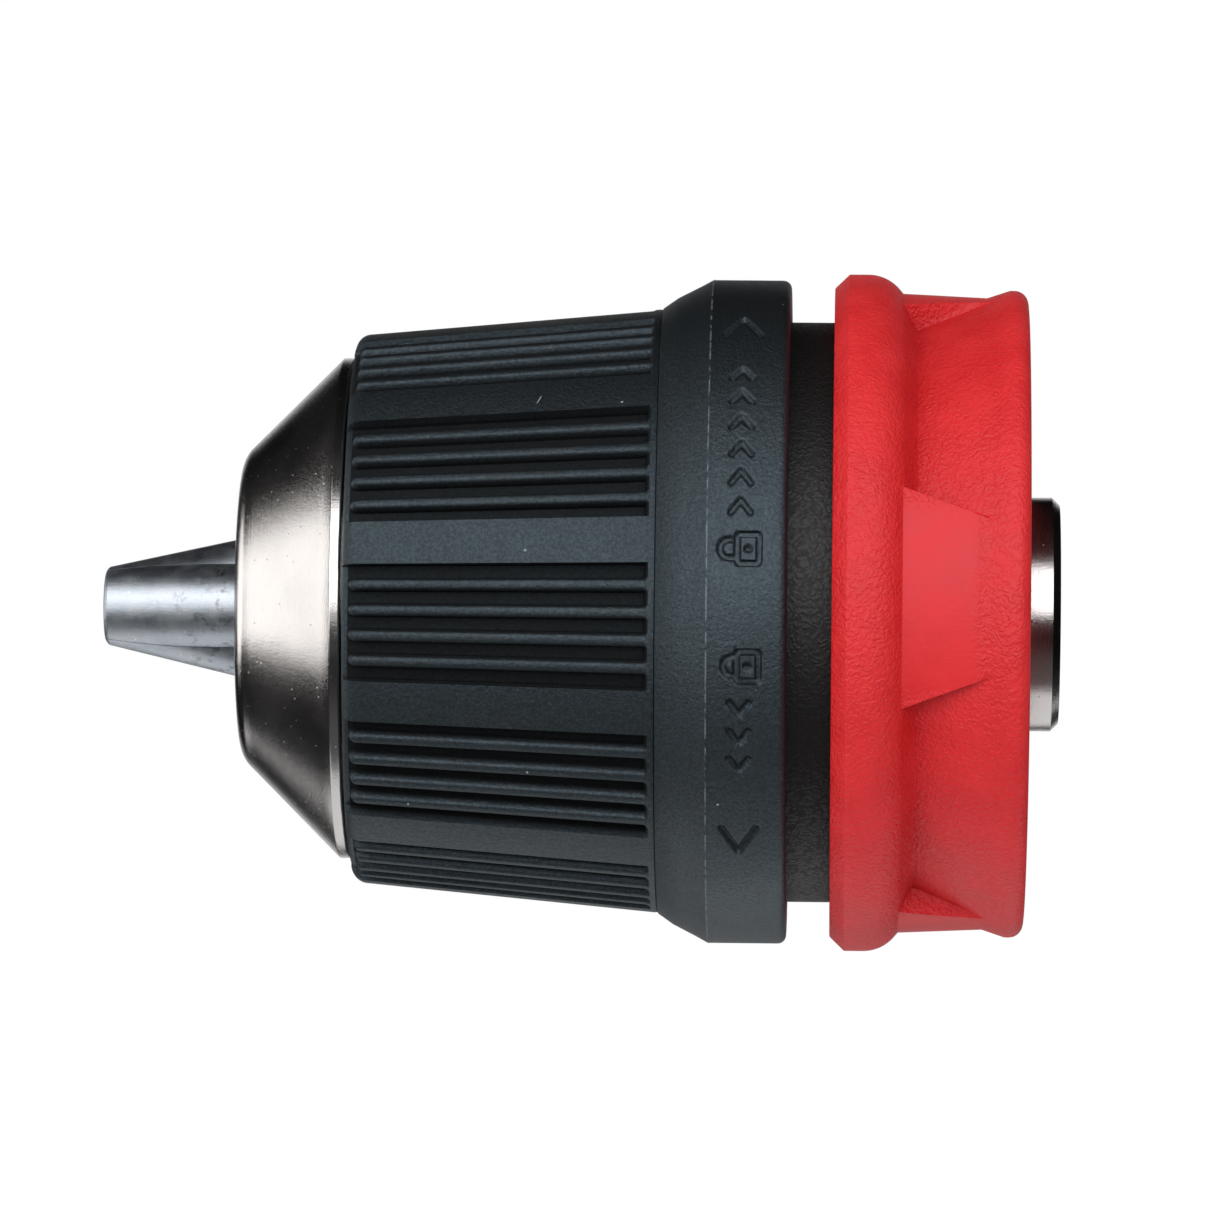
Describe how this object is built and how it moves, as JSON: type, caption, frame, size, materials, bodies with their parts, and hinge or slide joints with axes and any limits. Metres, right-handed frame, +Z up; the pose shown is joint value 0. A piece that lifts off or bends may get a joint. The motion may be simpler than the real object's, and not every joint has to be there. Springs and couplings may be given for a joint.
{
  "type": "quick-change keyless drill chuck",
  "caption": "Keyless self-centring drill chuck with angled jaws, a ribbed grip sleeve, a smooth locking collar and a sliding red release ring on a spindle coupling.",
  "frame": {"origin": "centre of the spindle coupling's rear face, on the chuck axis", "axes": "+X along the chuck axis, the way the spindle leaves; the jaws point along -X; +Z up"},
  "size_m": [0.0629, 0.0446, 0.0446],
  "materials": {
    "turned_steel": "fine turned",
    "nickel": "satin nickel plate",
    "jaw_steel": "ground, blued-grey satin",
    "hardened_steel": "hardened, matt",
    "brass": "satin",
    "black_plastic": "fine matt grain",
    "cover_plastic": "coarse leather grain",
    "red_plastic": "eroded grain"
  },
  "bodies": {
    "chuck": {"chuck_body": "turned_steel", "nosepiece": "nickel", "thrust_washer": "hardened_steel", "ratchet_ring": "hardened_steel", "rear_cover": "cover_plastic", "coupling_sleeve": "nickel", "fixing_screw": "hardened_steel", "retaining_ring": "hardened_steel", "spring_seat": "turned_steel", "release_spring": "turned_steel"},
    "nut": {"nut_half_a": "hardened_steel", "nut_half_b": "hardened_steel", "nut_band": "turned_steel", "pawl_pin": "turned_steel"},
    "jaw_1": {"jaw_1": "jaw_steel"},
    "jaw_2": {"jaw_2": "jaw_steel"},
    "jaw_3": {"jaw_3": "jaw_steel"},
    "cage": {"ball_cage": "brass", "thrust_balls": "nickel"},
    "sleeve": {"grip_sleeve": "black_plastic", "lock_collar": "black_plastic"},
    "pawl": {"spring_pawl": "hardened_steel"},
    "release": {"release_ring": "red_plastic", "cam_ring": "turned_steel"},
    "lock_ball_1": {"lock_ball_1": "nickel"},
    "lock_ball_2": {"lock_ball_2": "nickel"},
    "lock_ball_3": {"lock_ball_3": "nickel"}
  },
  "joints": [
    {"name": "nut_turn", "type": "hinge", "parent": "chuck", "child": "nut", "pos_m": [-0.035, 0, 0], "axis": [-1, 0, 0], "range_deg": [0, 4500]},
    {"name": "jaw_1_slide", "type": "slide", "parent": "chuck", "child": "jaw_1", "axis": [0.9659, -0.2585, 0.0135], "range_m": [0, 0.01932]},
    {"name": "jaw_2_slide", "type": "slide", "parent": "chuck", "child": "jaw_2", "axis": [0.9659, 0.141, 0.2171], "range_m": [0, 0.01932]},
    {"name": "jaw_3_slide", "type": "slide", "parent": "chuck", "child": "jaw_3", "axis": [0.9659, 0.1175, -0.2306], "range_m": [0, 0.01932]},
    {"name": "cage_turn", "type": "hinge", "parent": "chuck", "child": "cage", "pos_m": [-0.0289, 0, 0], "axis": [-1, 0, 0], "range_deg": [0, 2251]},
    {"name": "sleeve_lock", "type": "hinge", "parent": "nut", "child": "sleeve", "pos_m": [-0.035, 0, 0], "axis": [1, 0, 0], "range_deg": [0, 25]},
    {"name": "pawl_tilt", "type": "hinge", "parent": "nut", "child": "pawl", "pos_m": [-0.028, 0.01481, 0.00855], "axis": [-1, 0, 0], "range_deg": [0, 6.01]},
    {"name": "release_slide", "type": "slide", "parent": "chuck", "child": "release", "axis": [-1, 0, 0], "range_m": [0, 0.0027], "stiffness_N_per_m": 2500, "springref_m": -0.0035, "deforming": ["release_spring"]},
    {"name": "lock_ball_1_slide", "type": "slide", "parent": "chuck", "child": "lock_ball_1", "axis": [0, 0.5, 0.866], "range_m": [0, 0.000751]},
    {"name": "lock_ball_2_slide", "type": "slide", "parent": "chuck", "child": "lock_ball_2", "axis": [0, 0.5, -0.866], "range_m": [0, 0.000751]},
    {"name": "lock_ball_3_slide", "type": "slide", "parent": "chuck", "child": "lock_ball_3", "axis": [0, -1, 0], "range_m": [0, 0.000751]}
  ],
  "couplings": [
    {"joint": "jaw_1_slide", "follows": "nut_turn", "m_per_rad": 0.00024597},
    {"joint": "jaw_2_slide", "follows": "nut_turn", "m_per_rad": 0.00024597},
    {"joint": "jaw_3_slide", "follows": "nut_turn", "m_per_rad": 0.00024597},
    {"joint": "cage_turn", "follows": "nut_turn", "ratio": 0.5},
    {"joint": "pawl_tilt", "follows": "sleeve_lock", "ratio": 0.24},
    {"joint": "lock_ball_1_slide", "follows": "release_slide", "ratio": 0.27778},
    {"joint": "lock_ball_2_slide", "follows": "release_slide", "ratio": 0.27778},
    {"joint": "lock_ball_3_slide", "follows": "release_slide", "ratio": 0.27778}
  ]
}
